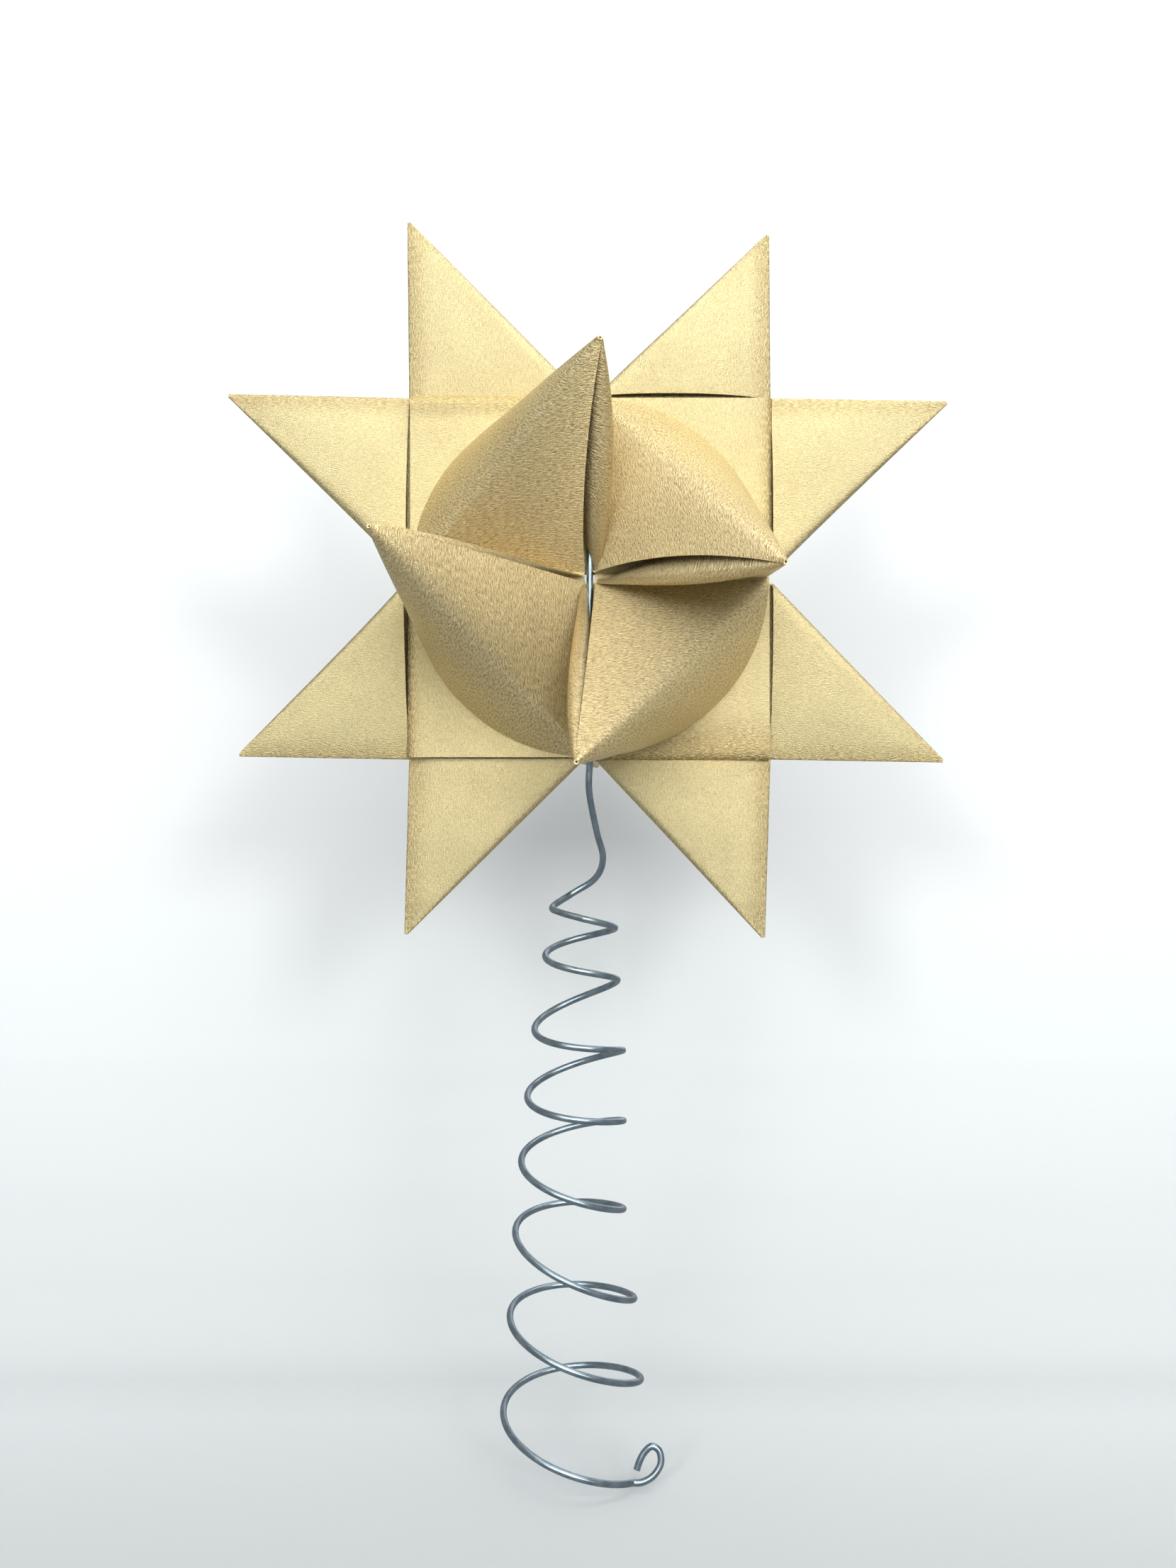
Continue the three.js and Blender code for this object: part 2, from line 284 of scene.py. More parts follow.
# The pale card's painted shade from the front of its floor to its wall, as (share of the way, sRGB colour).
# The painted shades even out how the lights fall on the floor, the bend and the wall.
CARD_PAINTED_SHADES = [
    (0.0, (163, 167, 168)), (0.13, (171, 175, 176)), (0.26, (179, 183, 184)),
    (0.40, (174, 178, 179)), (0.50, (167, 171, 172)), (0.59, (167, 171, 172)),
    (0.67, (173, 177, 178)), (0.76, (182, 186, 187)), (1.0, (188, 190, 191)),
]
# Where the first and the last of those shades lie, in metres up the card from where its bend starts.
CARD_SHADES_FROM = -0.07
CARD_SHADES_TO = 0.13


def backdrop_paper():
    """Pale studio card, greyer on its floor by painted shade, with a faint painted glow. It is seen from its
    front only.
    """
    n = Nodes("studio_card")
    place = n.add("ShaderNodeTexCoord").outputs["Object"]
    # UV's y is the distance up the card, in metres, from where its bend starts.
    uv = n.add("ShaderNodeUVMap", uv_map="card").outputs["UV"]
    rise = n.add("ShaderNodeSeparateXYZ", {"Vector": uv}).outputs["Y"]
    share = n.add("ShaderNodeMapRange", {
        "Value": rise, "From Min": CARD_SHADES_FROM, "From Max": CARD_SHADES_TO}).outputs[0]
    shade = n.ramp(share, [(stop, rgb(*colour)) for stop, colour in CARD_PAINTED_SHADES])
    grain = n.noise(place, 30.0, 2.0, dimensions="3D")
    colour = n.mix(n.math("MULTIPLY", grain, 0.04), shade, rgb(184, 188, 190))
    # The card glows faintly: painted light that lifts its shadows.
    card = n.add("ShaderNodeBsdfPrincipled", {
        "Base Color": colour, "Roughness": 0.9, "Specular IOR Level": 0.0,
        "Emission Color": colour, "Emission Strength": 0.12})
    clear = n.add("ShaderNodeBsdfTransparent")
    behind = n.add("ShaderNodeNewGeometry").outputs["Backfacing"]
    return n.finish(n.add("ShaderNodeMixShader", {0: behind, 1: card.outputs[0], 2: clear.outputs[0]}))


FLAT_GOLD = gold_paper("gold_paper", (236, 220, 169), 0.38, 0.16, 0.24)
CURLED_GOLD = gold_paper("gold_paper_curled", (235, 216, 168), 0.38, 0.46, 0.2)
EDGE = paper_edge()
WIRE = galvanised_wire()
WIRE_END = wire_cut_end()

# ---------------------------------------------------------------- mesh helpers


def mesh_object(name, vertices, faces, uvs, materials, face_materials, folds=None):
    """A smooth-shaded mesh piece with one (x, y) UV per vertex, in millimetres, and a fold value for painted
    shade and stronger wrinkles if given.
    """
    mesh = bpy.data.meshes.new(name)
    mesh.from_pydata([tuple(v) for v in vertices], [], faces)
    layer = mesh.uv_layers.new(name="strip")
    for loop in mesh.loops:
        layer.data[loop.index].uv = uvs[loop.vertex_index]
    for material in materials:
        mesh.materials.append(material)
    mesh.polygons.foreach_set("material_index", face_materials)
    if folds is not None:
        mesh.attributes.new("fold", "FLOAT", "POINT").data.foreach_set("value", folds)
    mesh.shade_smooth()
    mesh.set_sharp_from_angle(angle=math.radians(50))
    mesh.validate()
    piece = bpy.data.objects.new(name, mesh)
    bpy.context.scene.collection.objects.link(piece)
    return piece


def paper_sheet(name, surface, columns, rows, material):
    """A sheet of paper with its real thickness and pale cut edges.

    surface(i, j) gives (point in metres, UV in millimetres, the fold value that gold_paper reads as painted
    shade and stronger wrinkles).
    """
    middle = [[surface(i, j) for j in range(rows + 1)] for i in range(columns + 1)]
    points = np.array([[tuple(p) for p, _, _ in column] for column in middle])
    normal = np.cross(np.gradient(points, axis=0), np.gradient(points, axis=1))
    length = np.linalg.norm(normal, axis=2, keepdims=True)
    normal = normal / np.maximum(length, 1e-15)
    offset = normal * (PAPER * MM / 2)
    sides = [(points + offset).reshape(-1, 3), (points - offset).reshape(-1, 3)]
    uvs = [uv for column in middle for _, uv, _ in column]
    folds = [fold for column in middle for _, _, fold in column]
    count = len(uvs)

    def at(i, j, side):
        return side * count + i * (rows + 1) + j

    faces = []
    for i in range(columns):
        for j in range(rows):
            faces.append((at(i, j, 0), at(i + 1, j, 0), at(i + 1, j + 1, 0), at(i, j + 1, 0)))
            faces.append((at(i, j, 1), at(i, j + 1, 1), at(i + 1, j + 1, 1), at(i + 1, j, 1)))
    sheet_faces = len(faces)
    rim = [(i, 0) for i in range(columns)] + [(columns, j) for j in range(rows)]
    rim += [(i, rows) for i in range(columns, 0, -1)] + [(0, j) for j in range(rows, 0, -1)]
    for (i, j), (k, m) in zip(rim, rim[1:] + rim[:1]):
        faces.append((at(i, j, 1), at(k, m, 1), at(k, m, 0), at(i, j, 0)))
    kinds = [0] * sheet_faces + [1] * len(rim)
    return mesh_object(name, np.concatenate(sides), faces, uvs * 2, [material, EDGE], kinds, folds * 2)


def smooth(t):
    """0 up to t = 0, 1 from t = 1, and a soft step between."""
    t = min(1.0, max(0.0, t))
    return t * t * (3 - 2 * t)


def through(start, middle, end, t):
    """A smooth change from start at t = 0 to end at t = 1, by way of middle halfway."""
    return start * (1 - t) + end * t + (4 * middle - 2 * start - 2 * end) * t * (1 - t)


# ---------------------------------------------------------------- one strip's woven band


def band(quarter, soft, shade, crease_shade):
    """One doubled strip through the square: outer over its first cell, inner under the next.

    shade is painted shade that darkens the paper towards the fold from soft millimetres away, and the last
    argument is a stronger painted shade on the fold itself.
    """
    columns, rows = 24, 150
    left, right = -W + 0.25, -0.85
    inner_end, fold = -W - 0.4, W + 0.35
    bend = fold - OUTER_H
    straight = bend - inner_end
    arc = math.pi * OUTER_H
    total = 2 * straight + arc

    def profile(distance):
        """(z, h) along the hairpin, from the front's inner end over the fold to the back's inner end."""
        if distance > straight + arc:
            z, h = profile(total - distance)
            return z, -h
        if distance > straight:
            angle = (distance - straight) / OUTER_H
            return bend + OUTER_H * math.sin(angle), OUTER_H * math.cos(angle)
        z = inner_end + distance
        rise = (OUTER_H - INNER_H) * smooth((z + 1.0) / 2.0)
        tuck = 0.8 * smooth((-W + 1.5 - z) / 1.8)
        return z, INNER_H + rise - tuck

    def surface(i, j):
        distance = total * j / rows
        z, h = profile(distance)
        share = i / columns
        x = left + (right - left) * share
        # The outer layer is a little crowned over its cell, and droops just before it turns over the fold.
        over_cell = smooth(z / 3) * smooth((bend - z) / 4) * math.sin(math.pi * min(1, max(0, z / W)))
        crown = 0.22 * over_cell * math.sin(math.pi * share)
        near_fold = 1 - smooth((fold - z) / 4.5)
        droop = 0.55 * near_fold * smooth((abs(h) - 1.2) / 0.3)
        h += math.copysign(crown - droop, h)
        # Painted shade towards the fold, stronger on the fold itself, where the paper turns away under it.
        fold_shade = shade * (1 - smooth((fold - z) / soft)) + crease_shade * (1 - smooth((fold - z - 0.3) / 0.9))
        # Painted shade on the inner layer's end, under the other layer.
        inner_end_shade = 0.9 * smooth((-W + 0.1 - z) / 0.5)
        x2, z2 = turned(quarter, x, z)
        return world(x2, z2, h), (x - left + FLAT_PATTERN_STEP * quarter, distance), fold_shade + inner_end_shade

    piece = paper_sheet(f"woven_band_{QUARTERS[quarter]}", surface, columns, rows, FLAT_GOLD)
    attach(piece, "star")
    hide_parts(f"strip_{QUARTERS[quarter]}_band")
    return piece


# ---------------------------------------------------------------- flat points


def flat_point(quarter, kind, reach, lean, gape, lift, roll, slot):
    """A folded triangular pocket beside the square: front and back faces joined round both folds.

    Described for the upright point over the first cell: corner at (-W, W), mouth along the cell,
    tip at (-W, 2W). The sideways point is its mirror in the diagonal. reach and lean place the tip,
    gape opens the mouth, lift twists the point forward at its slanting edge, and roll is low for a
    face that curves away gradually to the straight edge. slot holds the gaps left between mouth and
    cell at the outer corner, halfway and at the inner corner.
    """
    rows, columns = 40, 56
    mouth_width, tip_width = W - 1.0, 0.35

    def surface(i, j):
        v = j / rows
        left = lean * v
        width = mouth_width * (1 - v) + tip_width * v
        angle = 2 * math.pi * i / columns
        is_front = math.sin(angle) >= 0
        # Across the pocket: a soft roll at the straight outer edge, a tighter fold at the slanting one.
        share = math.copysign(abs(math.cos(angle)) ** 0.75, math.cos(angle))
        if share < 0:
            bulge = (1 - abs(share) ** roll) ** (1.0 - 0.18 * roll)
        else:
            bulge = (1 - share ** 10) ** 0.5
        puff = 0.45 + gape * (1 - v) ** 2 + 0.75 * math.sin(math.pi * min(1, v * 1.15) ** 0.8)
        from_edge = width / 2 * (1 + share)
        u = left + from_edge
        h = min(1.85, puff * min(1.0, width / 6)) * bulge * (1 if is_front else -1)
        h += lift * (from_edge / W - 0.4)
        gap = through(*slot, u / W) * (1 - v) ** 4 if is_front else 0.0
        along = 0.1 + (reach - 0.1) * v + gap
        x, z = -W + u, W + along
        if kind == "side":
            x, z = -z, -x
        x2, z2 = turned(quarter, x, z)
        # Painted shade near both edges where the faces curl away, which also gives them stronger wrinkles.
        fold = max(1 - smooth(from_edge / 4), 0.8 * (1 - smooth((width - from_edge) / 1.4)))
        # The back face takes painted shade where it shows through the mouth.
        inside = 0.0 if is_front else 1.7 * (1 - smooth(v * W / 1.6))
        uv = (along + (SIDE_POINT_PATTERN if kind == "side" else 0), u + FLAT_PATTERN_STEP * quarter)
        return world(x2, z2, h), uv, 0.7 * fold + inside

    piece = paper_sheet(f"{kind}_point_{QUARTERS[quarter]}", surface, columns, rows, FLAT_GOLD)
    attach(piece, "star")
    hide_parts(f"strip_{QUARTERS[quarter]}_{kind}_point")
    return piece


# ---------------------------------------------------------------- rolled cones


def rolled_path(steps, spread):
    """The cone's foot line: along the slot, round the corner, then the arc on the cell, to its far end.

    Gives the sharp line, the same line with its corner rounded, and the distance along it.
    """
    slot_length = ARC_CENTRE + ARC_RADIUS - EDGE_Q
    arc_length = ARC_RADIUS * math.pi / 2
    total = slot_length + arc_length
    sharp = []
    for k in range(steps + 1):
        distance = total * k / steps
        if distance < slot_length:
            p = EDGE_P + (ARC_CENTRE - EDGE_P) * distance / slot_length
            q = EDGE_Q + distance
        else:
            angle = (distance - slot_length) / ARC_RADIUS
            p = ARC_CENTRE + ARC_RADIUS * math.sin(angle)
            q = ARC_CENTRE + ARC_RADIUS * math.cos(angle)
        sunk = 0.5 * (1 - smooth((distance - slot_length + 1.0) / 3.0))
        sharp.append((p, q, CONE_BASE_H - sunk))
    sharp = np.array(sharp)
    before = 2 * sharp[0] - sharp[steps:0:-1]
    after = 2 * sharp[-1] - sharp[-2::-1]
    padded = np.concatenate([before, sharp, after])
    place = np.arange(len(padded)) * total / steps
    rounded = []
    for k in range(steps + 1):
        weight = np.exp(-0.5 * ((place - place[steps + k]) / spread) ** 2)
        rounded.append((padded * weight[:, None]).sum(axis=0) / weight.sum())
    return sharp, np.array(rounded), place[:steps + 1]


def cone_rulings(tip, lobe, dip, root, skew):
    """The lines from a cone's foot to its tip, in order round its one sheet of paper.

    Each is (foot on the cell, foot as its upper half aims at it, swell, distance along the sheet, skew).
    swell is how far and which way its middle bows, and skew how much nearer to the tip it bows most.
    """
    foot = np.array([EDGE_P, EDGE_Q, CONE_BASE_H])
    slope = (tip - foot) / np.linalg.norm(tip - foot)
    outward = np.array([0.0, -1.0, 0.0])
    outward -= np.dot(outward, slope) * slope
    outward /= np.linalg.norm(outward)
    above = np.cross(slope, outward)
    above *= math.copysign(1.0, above[2])

    # First the lines round the outside of the cone.
    steps = 84
    sharp, rounded, place = rolled_path(steps, spread=5.5)
    tangent = np.gradient(rounded, axis=0)
    rulings = []
    for k in range(steps + 1):
        share = k / steps
        out = np.cross(tangent[k], tip - rounded[k])
        out /= np.linalg.norm(out)
        out *= math.copysign(1.0, np.dot(out, rounded[k] - HEART) + 0.5 * out[2] * ARC_RADIUS)
        fullness = (1 - 0.65 * smooth((share - 0.25) / 0.3)) * (1 - smooth((share - 0.85) / 0.15))
        inward_dip = dip * (1 - smooth(share / 0.3)) * np.array([0.0, 1.0, 0.1])
        rulings.append((sharp[k], rounded[k], BELLY * fullness * out + inward_dip, place[k], 0.0))
    # Then the wall of the mouth, from the arc's end back to the star's centre.
    wall_steps = 22
    for k in range(1, wall_steps + 1):
        t = k / wall_steps
        settled = smooth(4 * t)
        lower = np.array([ARC_CENTRE + ARC_RADIUS - (ARC_RADIUS - 1.0) * t, ARC_CENTRE * (1 - settled) - 0.2,
                          CONE_BASE_H - 0.5 * settled])
        swell = lobe * smooth(1.15 * t) * (0.92 * outward - 1.3 * above)
        rulings.append((lower, lower, swell, place[-1] + 29 * t, skew))
    # Last the lobe, which curls back over the mouth to the free edge's side.
    for k, (share, over, out, deep) in enumerate(LOBE_SECTION):
        lower = np.array([1.2, -0.15 - (out - 0.15) * root, CONE_BASE_H - deep])
        across = lobe * share if share > 0 else (dip + 1.2) * share
        swell = across * outward + (lobe * over - 0.15) * above
        rulings.append((lower, lower, swell, place[-1] + 30 + 1.2 * k, skew))
    return rulings


def cone(quarter, back, height, reach, lean, lobe, dip, root=1.0, skew=0.0):
    """One rolled paper cone: a single sheet from its free edge, round the arc, to the lobe in its mouth.

    reach, lean and height place the tip. lobe is how far the returning sheet stands out of the mouth, root
    its share left at the star's centre and skew how much nearer to the tip it stands out most. dip is how
    far the free edge bends towards the cone's body.
    """
    pattern_start = CONE_PATTERN_STEP * quarter + (BACK_CONE_PATTERN if back else 0)
    tip = np.array([reach, -lean, height])
    axis = (HEART - tip) / np.linalg.norm(HEART - tip)
    rulings = cone_rulings(tip, lobe, dip, root, skew)
    columns, rows = len(rulings) - 1, 40

    def crown(lower, size):
        """Where a line ends on the small open roll at the tip."""
        sideways = lower - tip
        sideways = sideways - np.dot(sideways, axis) * axis
        return tip + size * sideways / np.linalg.norm(sideways)

    def surface(i, j):
        lower, lower_high, swell, along, tipward = rulings[i]
        v = 1 - (1 - j / rows) ** 1.15
        lower = lower_high + (lower - lower_high) * smooth((v - 0.5) / 0.5)
        top = crown(lower, TIP_ROLL * (1 - 0.5 * smooth((i - columns + 14) / 14)))
        swelling = 4 * v * (1 - v) * (2 - 2 * v) ** tipward
        p, q, h = (float(c) for c in top + (lower - top) * v + swelling * swell)
        # The sheet is a plain strip, so its wrinkles turn steadily as it rolls round the tip.
        bend = along * 0.0225
        far = 42 * v
        uv = (far * math.sin(bend) + pattern_start, far * math.cos(bend))
        x, z = turned(quarter, -q, p)
        return world(-x, z, -h) if back else world(x, z, h), uv, 0.0

    face = "back" if back else "front"
    piece = paper_sheet(f"{face}_cone_{QUARTERS[quarter]}", surface, columns, rows, CURLED_GOLD)
    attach(piece, "star")
    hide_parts(f"strip_{QUARTERS[quarter]}_{face}_cone")
    return piece


# ---------------------------------------------------------------- the wire

# The spring's left and right sides at every half turn, as (x, z) from the star's centre. It is wound by
# hand, so its turns are uneven.
HALF_TURNS = [
    (-6.2, -54.7), (4.2, -58.2), (-7.4, -62.7), (4.6, -66.9), (-9.2, -74.9), (5.5, -78.6),
    (-10.4, -86.1), (5.6, -90.3), (-11.4, -96.8), (5.6, -105.0), (-12.4, -108.5), (7.4, -119.9),
    (-13.3, -122.5), (8.5, -133.3), (-14.4, -138.4), (9.2, -148.8),
]
# The hook at the wire's lower end, as (x, z, h).
HOOK = [
    (8.5, -147.2, 6.9), (10.3, -146.3, 6.6), (11.5, -144.6, 6.1), (11.3, -142.8, 5.6),
    (10.1, -142.1, 5.4), (8.9, -143.0, 5.5), (8.1, -144.3, 5.8), (7.6, -145.6, 6.1),
]
# Where the neck and the spring's three lengths stop, in turns from the spring's top.
NECK_END_TURN = 0.25
UPPER_END_TURN = 2.5
MIDDLE_END_TURN = 5.0
COIL_END_TURN = 7.4
# How finely the wire is drawn.
WIRE_SIDES = 20
STEPS_A_TURN = 64
NECK_STEPS = 110
HOOK_STEPS = 90


def curve_at(a, b, c, d, f):
    """A share f of the way from b to c on a smooth curve through a, b, c and d."""
    bend = (2 * a - 5 * b + 4 * c - d) * f ** 2 + (3 * b - a - 3 * c + d) * f ** 3
    return b + ((c - a) * f + bend) / 2


def coil_knots():
    """(centre, radius, height) of the spring at every half turn."""
    last = len(HALF_TURNS) - 1
    knots = []
    for k, (x, z) in enumerate(HALF_TURNS):
        before = HALF_TURNS[k - 1 if k > 0 else 1][0]
        after = HALF_TURNS[k + 1 if k < last else k - 1][0]
        across = (before + after) / 2
        knots.append(((x + across) / 2, abs(x - across) / 2, z))
    return np.array(knots)


COIL_KNOTS = coil_knots()


def coil_point(turns):
    """(x, z, h) of the wire after a number of turns, seen from the star's centre."""
    last = len(COIL_KNOTS) - 1
    place = min(2 * turns, last)
    i = min(int(place), last - 1)
    nearest = (COIL_KNOTS[min(max(k, 0), last)] for k in range(i - 1, i + 3))
    centre, radius, z = curve_at(*nearest, place - i)
    angle = 2 * math.pi * turns
    return centre - radius * math.cos(angle), z, radius * math.sin(angle)


def spline(points, steps):
    """A smooth curve through the points, as a list of steps + 1 places."""
    points = [np.array(p, float) for p in points]
    ends = [2 * points[0] - points[1], *points, 2 * points[-1] - points[-2]]
    places = []
    for k in range(steps + 1):
        t = k / steps * (len(points) - 1)
        i = min(int(t), len(points) - 2)
        places.append(curve_at(*ends[i:i + 4], t - i))
    return places


def wire_path():
    """The wire's centre line from the neck's top to its end, and where each length of it stops."""
    neck = [(0, -W - 0.2, STEM_H), (-0.1, -35.4, 0.9 * STEM_H), (1.1, -41.9, 0.4 * STEM_H),
            (2.2, -46.6, -1.2), (0.9, -50.2, -3.9), (-3.2, -52.9, -3.9),
            coil_point(0), coil_point(0.12), coil_point(NECK_END_TURN)]
    path = spline(neck, NECK_STEPS)
    stops = [0, NECK_STEPS]
    ends = [NECK_END_TURN, UPPER_END_TURN, MIDDLE_END_TURN, COIL_END_TURN]
    for start, end in zip(ends, ends[1:]):
        count = round((end - start) * STEPS_A_TURN)
        path += [np.array(coil_point(start + (end - start) * (k + 1) / count)) for k in range(count)]
        stops.append(stops[-1] + count)
    path += spline([path[-1], *HOOK], HOOK_STEPS)[1:]
    stops.append(len(path) - 1)
    return path, stops


def wire_rings(path):
    """Rings of vertices round the centre line, in metres, and how far along the wire each one is, in mm."""
    centre = np.array([tuple(world(*place)) for place in path])
    tangent = np.gradient(centre, axis=0)
    tangent /= np.linalg.norm(tangent, axis=1, keepdims=True)
    step = np.linalg.norm(np.diff(centre, axis=0), axis=1)
    along = np.concatenate([[0.0], np.cumsum(step)]) / MM
    normal = np.cross(tangent[0], np.array([0.3, 0.9, 0.2]))
    rings = []
    for k, place in enumerate(centre):
        normal = normal - np.dot(normal, tangent[k]) * tangent[k]
        normal /= np.linalg.norm(normal)
        other = np.cross(tangent[k], normal)
        ring = []
        for side in range(WIRE_SIDES):
            angle = 2 * math.pi * side / WIRE_SIDES
            ring.append(place + WIRE_RADIUS * MM * (math.cos(angle) * normal + math.sin(angle) * other))
        rings.append(ring)
    return rings, along


def wire_piece(name, rings, along, node, cut_end=False):
    """One length of round wire. A cut end shows bare steel on its flat face."""
    vertices = [vertex for ring in rings for vertex in ring]
    # Round the wire the pattern runs out and back, so it has no seam.
    girth = 2 * math.pi * WIRE_RADIUS
    round_wire = [girth * abs(1 - 2 * side / WIRE_SIDES) for side in range(WIRE_SIDES)]
    uvs = [(across, distance) for distance in along for across in round_wire]

    def at(k, side):
        return k * WIRE_SIDES + side % WIRE_SIDES

    last = len(rings) - 1
    faces = []
    for k in range(last):
        for side in range(WIRE_SIDES):
            faces.append((at(k, side), at(k, side + 1), at(k + 1, side + 1), at(k + 1, side)))
    kinds = [0] * len(faces) + [0, int(cut_end)]
    faces.append(tuple(at(0, side) for side in reversed(range(WIRE_SIDES))))
    faces.append(tuple(at(last, side) for side in range(WIRE_SIDES)))
    piece = mesh_object(name, vertices, faces, uvs, [WIRE, WIRE_END], kinds)
    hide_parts(node)
    return piece


def make_wire():
    """The stem inside the star, and the one wire below it, in the lengths that the joints divide it into."""
    stem_top, stem_steps = 22, 12
    stem = [(0, -W + (W + stem_top) * k / stem_steps, STEM_H) for k in range(stem_steps + 1)]
    stem_rings, stem_along = wire_rings(stem)
    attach(wire_piece("wire_stem_round", stem_rings, stem_along, "wire_stem", cut_end=True), "stem")
    path, stops = wire_path()
    rings, along = wire_rings(path)
    lengths = [("wire_neck_bend", "wire_neck"), ("spring_upper_turns", "coil_upper"),
               ("spring_middle_turns", "coil_middle"), ("spring_lower_turns", "coil_lower"),
               ("wire_end_hook", "wire_end_eye")]
    pieces = []
    for (name, node), start, end in zip(lengths, stops, stops[1:]):
        is_last = name == "wire_end_hook"
        pieces.append(wire_piece(name, rings[start:end + 1], along[start:end + 1], node, cut_end=is_last))
    neck, upper, middle, lower, hook = pieces
    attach(neck, "neck")
    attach(upper, "spring_top")
    world(0, coil_point(MIDDLE_END_TURN)[1], 0)
    world(0, coil_point(UPPER_END_TURN)[1], 0)
    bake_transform(middle)
    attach(lower, "base")
    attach(hook, "base")


# ---------------------------------------------------------------- stage


def studio():
    """A pale card that rises behind the star and runs forward under the spring, seamless between."""
    back_y, floor_z = 0.088, -0.0006
    bend, bend_steps = 0.05, 24
    wall_top, reach = 1.3, 1.4
    bend_length = math.pi / 2 * bend
    # Each place on the card's section is (y, z, distance up the card from where its bend starts).
    wall = [(back_y, wall_top, bend_length + wall_top - floor_z - bend)]
    for k in range(bend_steps + 1):
        angle = math.pi / 2 * k / bend_steps
        y = back_y - bend + bend * math.cos(angle)
        z = floor_z + bend - bend * math.sin(angle)
        wall.append((y, z, bend * (math.pi / 2 - angle)))
    floor = [wall[-1], (-reach, floor_z, -reach - back_y + bend)]
    paper = backdrop_paper()
    for name, section in (("studio_wall", wall), ("studio_floor", floor)):
        vertices = [(x, y, z) for x in (-reach, reach) for y, z, _ in section]
        uvs = [(x, rise) for x in (-reach, reach) for _, _, rise in section]
        count = len(section)
        mesh = bpy.data.meshes.new(name)
        mesh.from_pydata(vertices, [], [(k, k + 1, count + k + 1, count + k) for k in range(count - 1)])
        layer = mesh.uv_layers.new(name="card")
        for loop in mesh.loops:
            layer.data[loop.index].uv = uvs[loop.vertex_index]
        mesh.materials.append(paper)
        mesh.shade_smooth()
        card = bpy.data.objects.new(name, mesh)
        bpy.context.scene.collection.objects.link(card)
        # The gold paper mirrors a dim room beside and below it, not the bright card.
        card.visible_glossy = False


def area_light(name, place, size, power, colour=(1.0, 1.0, 1.0)):
    """A rectangular lamp that faces the star: place and size in metres, power in watts."""
    data = bpy.data.lights.new(name, "AREA")
    data.shape = "RECTANGLE"
    data.size, data.size_y = size
    data.energy = power
    data.color = colour
    light = bpy.data.objects.new(name, data)
    light.location = place
    light.rotation_euler = (world(0, 0, 0) - Vector(place)).to_track_quat("-Z", "Y").to_euler()
    bpy.context.scene.collection.objects.link(light)
    return light


def lights():
    """A wide softbox in front and above, a weaker light overhead, and small ones for shadow and rim."""
    area_light("softbox", (0.10, -0.90, 0.57), (1.2, 0.68), 12.4, (1.0, 0.99, 0.97))
    area_light("overhead", (0.18, -0.08, 1.0), (1.1, 0.8), 6.5, (1.0, 1.0, 0.99))
    area_light("rear_fill", (0.3, 0.9, 0.5), (0.8, 0.8), 1.5, (0.96, 0.98, 1.0))
    # Two small lamps throw the star's soft shadows to both sides, and don't glare on the gold.
    for side, x in (("left", -0.34), ("right", 0.34)):
        lamp = area_light(f"{side}_lamp", (x, -0.85, 0.36), (0.16, 0.16), 3.2)
        lamp.visible_glossy = False
    air = bpy.data.worlds.new("studio_air")
    air.use_nodes = True
    background = air.node_tree.nodes["Background"]
    background.inputs["Color"].default_value = rgb(238, 242, 244)
    background.inputs["Strength"].default_value = 0.40
    bpy.context.scene.world = air


def camera():
    """A close wide-angle view, square on to the star, from a little below its centre."""
    data = bpy.data.cameras.new("camera")
    data.sensor_width = 36.0
    data.lens = 32.5
    data.clip_start = 0.01
    view = bpy.data.objects.new("camera", data)
    view.location = world(-0.3, -34.2, 236)
    view.rotation_euler = (math.pi / 2, 0, 0)
    bpy.context.scene.collection.objects.link(view)
    bpy.context.scene.camera = view


# ---------------------------------------------------------------- the whole star

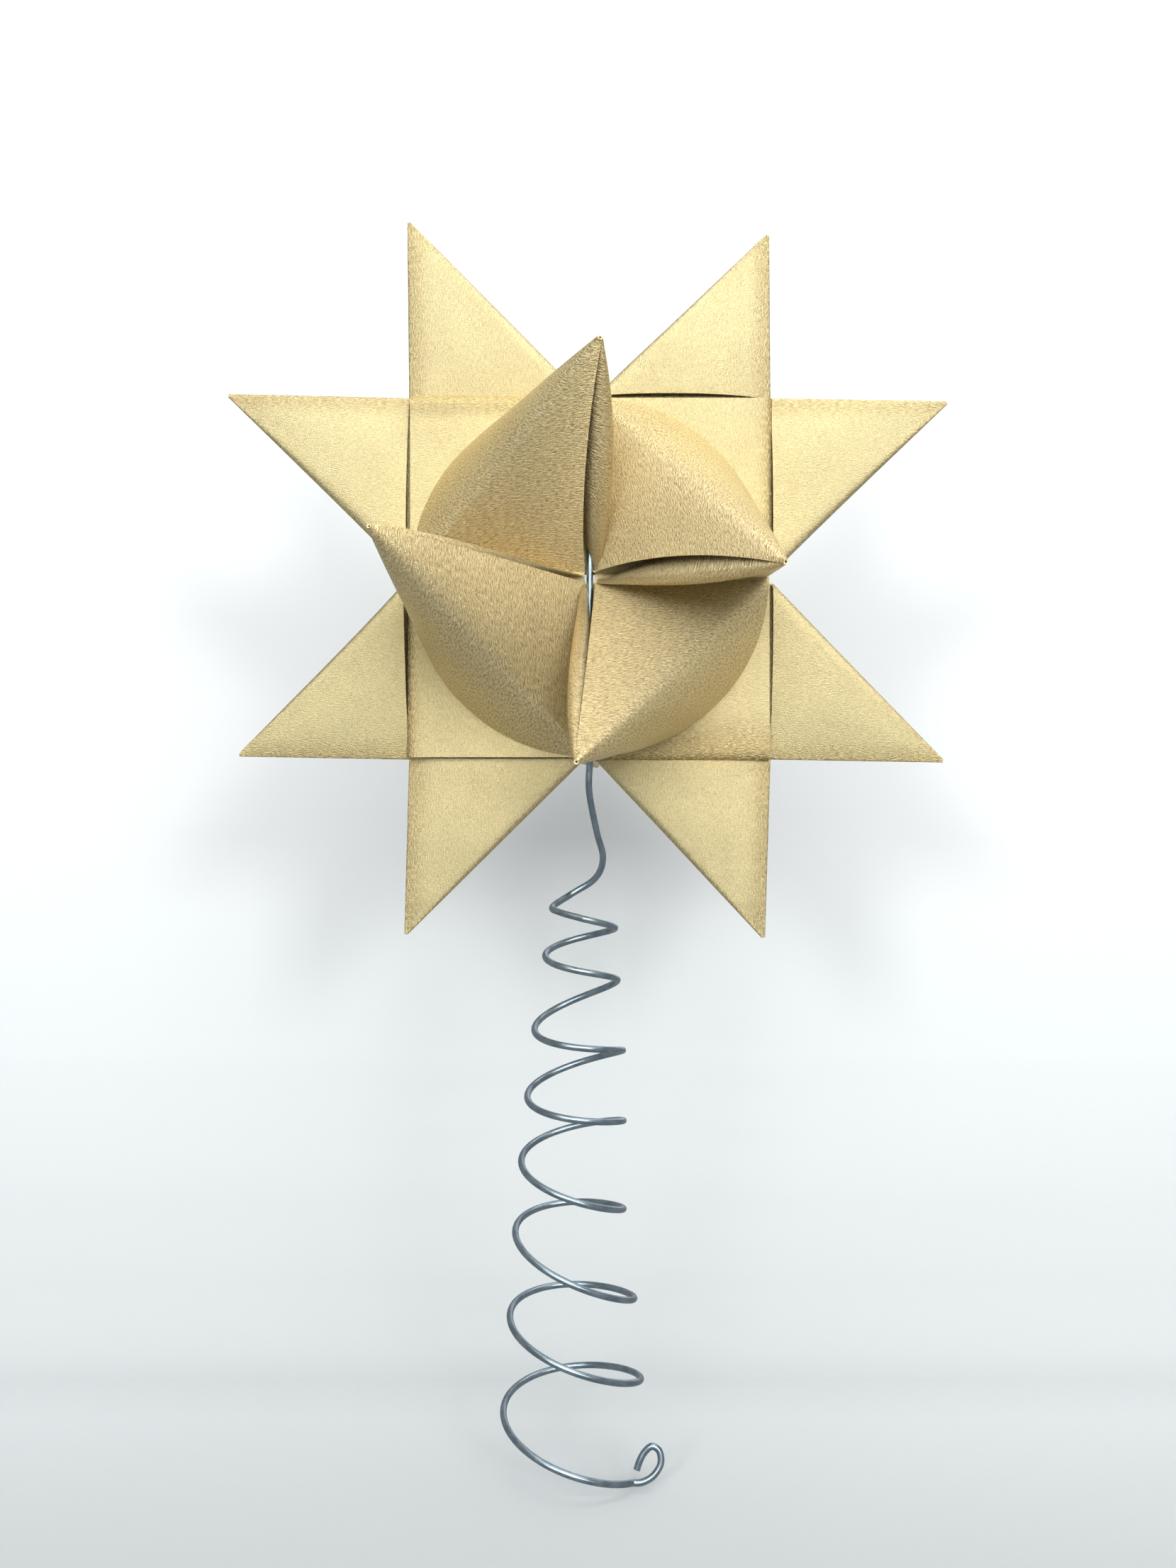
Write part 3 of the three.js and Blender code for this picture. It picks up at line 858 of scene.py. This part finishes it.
# Every folded piece of a hand-made star sits a little differently. The rows are quarters a to d, and
# their values are the ones that cone, flat_point and band describe.
FRONT_CONES = [
    # height, reach, lean, lobe, dip, root, skew
    (31.0, 30.5, 1.5, 2.0, 1.1, 1.0, 0.0),
    (30.8, 28.4, 2.0, 1.3, 1.8, 0.8, 0.4),
    (31.0, 31.0, 2.0, 1.4, 0.2, 1.0, 0.4),
    (31.0, 32.0, 3.2, 0.8, 0.0, 0.1, 1.0),
]
BACK_CONES = [
    # height, reach, lean, lobe, dip
    (30.9, 30.3, 1.6, 2.1, 1.2),
    (31.0, 29.6, 1.9, 2.3, 1.4),
    (30.8, 30.8, 1.4, 2.0, 1.0),
    (31.0, 30.1, 2.2, 1.8, 0.8),
]
POINTS = [
    # kind, reach, lean, gape, lift, roll, slot
    [("upright", 29.3, -0.3, 0.3, 0.0, 2.2, (0.0, 0.0, 0.0)),
     ("side", 30.2, -0.7, 0.9, 0.0, 2.0, (-0.1, 0.35, 0.4))],
    [("upright", 29.5, 0.5, 0.7, 0.0, 2.0, (0.0, 0.3, 0.3)),
     ("side", 27.3, 0.2, 0.9, 0.2, 2.2, (-0.2, 0.5, 0.0))],
    [("upright", 29.8, 0.9, 0.2, 0.0, 2.2, (0.0, 0.05, 0.05)),
     ("side", 29.0, -0.5, 0.7, 1.7, 1.4, (-0.1, 0.25, 0.2))],
    [("upright", 28.6, 0.5, 0.9, 2.2, 1.3, (0.1, 0.5, 0.7)),
     ("side", 29.2, -0.8, 0.2, 0.0, 2.0, (-0.3, -0.1, -0.2))],
]
BANDS = [
    # soft, painted shade, stronger painted shade on the fold
    (4.5, 0.8, 0.2),
    (3.0, 0.9, 1.0),
    (9.0, 1.0, 0.6),
    (3.0, 0.9, 1.1),
]

camera()
for quarter in range(4):
    band(quarter, *BANDS[quarter])
    for point in POINTS[quarter]:
        flat_point(quarter, *point)
    cone(quarter, False, *FRONT_CONES[quarter])
    cone(quarter, True, *BACK_CONES[quarter])
make_wire()
studio()
lights()

bpy.context.scene.view_settings.view_transform = "Standard"
